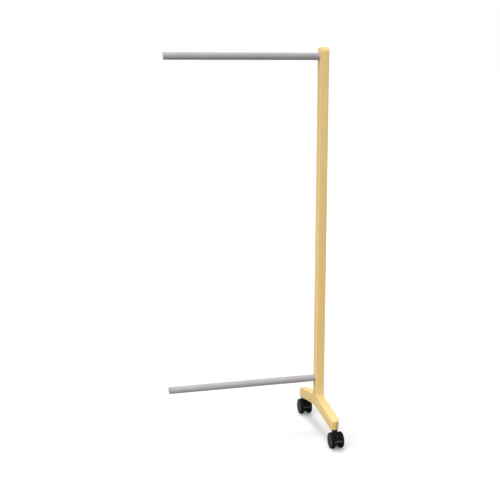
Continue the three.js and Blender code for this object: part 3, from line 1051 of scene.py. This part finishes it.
# lengths along the axle are from the wheel's inner face, on the housing's side, outwards
wheelShape = {
    "width": 18.5,
    "bore": 4.3,
    "hub": 9,
    "hubFace": 0.4,
    "rimInner": 28.5,
    "rimOuter": 32,
    "rimFaces": (1, 16.1),
    "web": (10.5, 11.5, 14.4),  # its inner side at the hub and at the rim, and its outer side
    "ribs": 6,
    "ribThickness": 1.6,
    "ribSpan": (3.2, 11.7),
    "ribRoot": 1,  # how far they run into hub and rim
}
tyreShape = {
    "rimGap": 0.3,
    "innerFace": 0.3,
    "sideEdge": 0.2,
    "shoulder": 33.9,
    "shoulderRound": 1.5,
    "shoulderRise": 2.3,
    "treadRound": 6,
    "crown": 0.12,
    "crownWidth": 5.2,
    "crownSteps": 8,
    "facets": 144,
}
capDisc = {
    "radius": 31.7,
    "back": 16.4,
    "edge": 17.05,
    # the outer side from its edge to the middle, as radius, height and rounding
    "face": [(30.4, 17.68, 0.6), (28.9, 17.78, 0.4), (28.3, 17.45, 0.4), (13.6, 18.2, 0.6),
             (12.9, 18.5, 0.3), (11.4, 18.45, 0.3), (11, 17.6, 0.5), (0, 17.6, 0)],
    "facets": 120,
}


# webs that stand round a hub, from one radius to another and from one height to another
def ribTree():
    sheet, wanted = newTree(
        "ribs", Count="Int", Inner="Float", Outer="Float", Thickness="Float", Low="Float", High="Float")
    foot = sheet.add("ShaderNodeCombineXYZ", {}, {"Z": wanted["Low"]})
    head = sheet.add("ShaderNodeCombineXYZ", {}, {"Z": wanted["High"]})
    line = sheet.add("GeometryNodeCurvePrimitiveLine", {}, {"Start": foot, "End": head})
    section = sheet.add("GeometryNodeCurvePrimitiveQuadrilateral", {},
                        {"Width": wanted["Outer"] - wanted["Inner"], "Height": wanted["Thickness"]})
    softened = sheet.add("GeometryNodeFilletCurve", {"mode": "POLY"},
                         {"Curve": section, "Radius": wanted["Thickness"] * 0.25, "Count": 2})
    rib = sheet.add("GeometryNodeCurveToMesh", {},
                    {"Curve": line, "Profile Curve": softened, "Fill Caps": True})
    outward = sheet.add("ShaderNodeCombineXYZ", {}, {"X": (wanted["Outer"] + wanted["Inner"]) * 0.5})
    placed = sheet.add("GeometryNodeTransform", {}, {"Geometry": rib, "Translation": outward})
    points = sheet.add("GeometryNodePoints", {}, {"Count": wanted["Count"]})
    step = sheet.add("GeometryNodeInputIndex") + 0.5
    turn = sheet.add("ShaderNodeCombineXYZ", {}, {"Z": step / wanted["Count"] * math.tau})
    ribs = sheet.add("GeometryNodeInstanceOnPoints", {},
                     {"Points": points, "Instance": placed, "Rotation": turn})
    return closeTree(sheet, ribs, wanted["Finish"])


hubRibs = ribTree()


# a wheel's meshes stand on their inner face with the axle up Z, and are turned to their own side
def keepWheelPiece(name, mesh, node, end, side, finish):
    way = 1 if side == "right" else -1
    place = jointPoint(f"{end}_{side}_wheel_spin")
    moved(mesh, z=-wheelShape["width"] / 2)
    moved(mesh, *place, 90 * way, "Y")
    keepPiece(name, mesh, node, finish)


def makeWheelCore(name, end, side):
    look = wheelShape
    bore, hub, rimInner, rimOuter = look["bore"], look["hub"], look["rimInner"], look["rimOuter"]
    hubFace, (rimLow, rimHigh) = look["hubFace"], look["rimFaces"]
    webAtHub, webAtRim, webBack = look["web"]
    dish = turnedMesh("dish", rounded([
        (bore, hubFace, 0.3), (hub, hubFace, 0.6), (hub, webAtHub, 1.0), (rimInner, webAtRim, 1.0),
        (rimInner, rimLow, 0.4), (rimOuter, rimLow, 0.3), (rimOuter, rimHigh, 0.3),
        (rimInner, rimHigh, 0.3), (rimInner, webBack, 0.4), (bore, webBack, 0.3)], steps=4))
    ribLow, ribHigh = look["ribSpan"]
    ribs = grown("ribs", hubRibs, {
        "Count": look["ribs"], "Inner": hub - look["ribRoot"], "Outer": rimInner + look["ribRoot"],
        "Thickness": look["ribThickness"], "Low": ribLow, "High": ribHigh, "Finish": blackNylon})
    core = combined(dish, "UNION", [ribs])
    node = f"{end}_caster_{side}_wheel"
    keepWheelPiece(name, core, node, end, side, blackNylon)


def makeTyre(name, end, side, finish):
    look = tyreShape
    treadRadius = jointPoint(f"{end}_{side}_wheel_spin").z
    inner, shoulder, rise = wheelShape["rimOuter"] + look["rimGap"], look["shoulder"], look["shoulderRise"]
    face, width = look["innerFace"], wheelShape["width"]
    crown = []
    for step in range(look["crownSteps"] + 1):
        across = 2 * step / look["crownSteps"] - 1  # from -1 to 1 over the tread
        height = (width + across * look["crownWidth"]) / 2
        crown.append((treadRadius - look["crown"] * across * across, height))
    outline = rounded([
        (inner, face, look["sideEdge"]), (shoulder, face, look["shoulderRound"]),
        (shoulder + rise, face + rise, look["treadRound"]), *crown,
        (shoulder + rise, width - rise, look["treadRound"]),
        (shoulder, width, look["shoulderRound"]), (inner, width, look["sideEdge"])])
    tyre = turnedMesh(name, outline, look["facets"])
    keepWheelPiece(name, tyre, f"{end}_caster_{side}_tyre", end, side, finish)


def makeWheelCap(name, end, side):
    look = capDisc
    radius, back = look["radius"], look["back"]
    outline = rounded([(0, back, 0), (radius, back, 0.2), (radius, look["edge"], 0.5), *look["face"]])
    disc = turnedMesh(name, outline, look["facets"])
    node = f"{end}_caster_{side}_wheel_cap"
    keepWheelPiece(name, disc, node, end, side, charcoalNylon)


for end in ("front", "rear"):
    makeHousing(end)
    makePedal(end)
    axleCentre = jointPoint(f"{end}_right_wheel_spin")
    softTread = tyreFinish(f"{end}SoftTread", axleCentre * mm, axleCentre.z * mm)
    for side in ("left", "right"):
        label = end + side.capitalize()
        makeWheelCore(f"{label}WheelCore", end, side)
        makeTyre(f"{label}SoftTyre", end, side, softTread)
        makeWheelCap(f"{label}HubDisc", end, side)
print("casters shaped")


# the hidden fastenings keep their solids and get their own finish
zincPlate = zincFinish("zincPlate")
dowelWood = woodFinish("dowelWood", (postAxis.x * mm, 0, 0.14), (90, 0, 0))
for node, solid in frame["nodes"].items():
    if solid.hide_render:
        continue
    solid.data.materials.clear()
    solid.data.materials.append(dowelWood if node.endswith("dowel") else zincPlate)
print("hidden fastenings finished")


floorLook = {
    "size": 400,  # in metres
    "seen": 0.84,  # how pale the camera and reflections see it
    "bounced": 0.12,  # how pale the underside of the object sees it
    "lift": 0.08,  # the white that shows through its shadows
}
# lamps too far off to have a place, each as the way to it, its width in degrees and its strength
lampLook = {
    "overhead": {"toward": (-0.04, 0.22, 1), "width": 26, "strength": 1.35},
    "frontLeft": {"toward": (-0.71, -0.71, 0.38), "width": 96, "strength": 3.6},
    "backRight": {"toward": (0.75, 0.6, 0.25), "width": 120, "strength": 0.7},
}
worldLook = {"light": 0.28, "seen": 1.0}


# 1 for rays that the camera, a reflection or a clear surface sends, 0 for diffuse light
def seenRays(sheet):
    rays = [sheet.add("ShaderNodeLightPath", output=f"Is {kind} Ray")
            for kind in ("Camera", "Glossy", "Transmission")]
    return sheet.maths("MINIMUM", rays[0] + rays[1] + rays[2], 1)


def makeFloor():
    look = floorLook
    material = bpy.data.materials.new("paleFloor")
    material.use_nodes = True
    material.node_tree.nodes.clear()
    sheet = NodeSheet(material.node_tree)
    seen = seenRays(sheet)
    paleness = seen * (look["seen"] - look["bounced"]) + look["bounced"]
    surface = sheet.add("ShaderNodeBsdfDiffuse", {}, {"Color": paleness})
    glow = sheet.add("ShaderNodeEmission", {}, {"Strength": seen * look["lift"]})
    both = sheet.add("ShaderNodeAddShader", {}, {0: surface, 1: glow})
    end = material.node_tree.nodes.new("ShaderNodeOutputMaterial")
    material.node_tree.links.new(both.socket, end.inputs["Surface"])
    half = look["size"] / 2
    corners = [(-half, -half, 0), (half, -half, 0), (half, half, 0), (-half, half, 0)]
    mesh = newMesh("floor", corners, [(0, 1, 2, 3)])
    mesh.materials.append(material)
    floor = bpy.data.objects.new("floor", mesh)
    bpy.context.scene.collection.objects.link(floor)


def makeLamps():
    for name, look in lampLook.items():
        data = bpy.data.lights.new(name, "SUN")
        data.angle = math.radians(look["width"])
        data.energy = look["strength"]
        lamp = bpy.data.objects.new(name, data)
        lamp.rotation_euler = Vector(look["toward"]).to_track_quat("Z", "Y").to_euler()
        bpy.context.scene.collection.objects.link(lamp)


def makeWorld():
    world = bpy.data.worlds.new("studio")
    world.use_nodes = True
    bpy.context.scene.world = world
    sheet = NodeSheet(world.node_tree)
    strength = seenRays(sheet) * (worldLook["seen"] - worldLook["light"]) + worldLook["light"]
    sheet.feed(world.node_tree.nodes["Background"].inputs["Color"], (1, 1, 1, 1))
    sheet.feed(world.node_tree.nodes["Background"].inputs["Strength"], strength)


makeFloor()
makeLamps()
makeWorld()
bpy.context.scene.view_settings.view_transform = "Standard"
print("floor, lamps and world made")
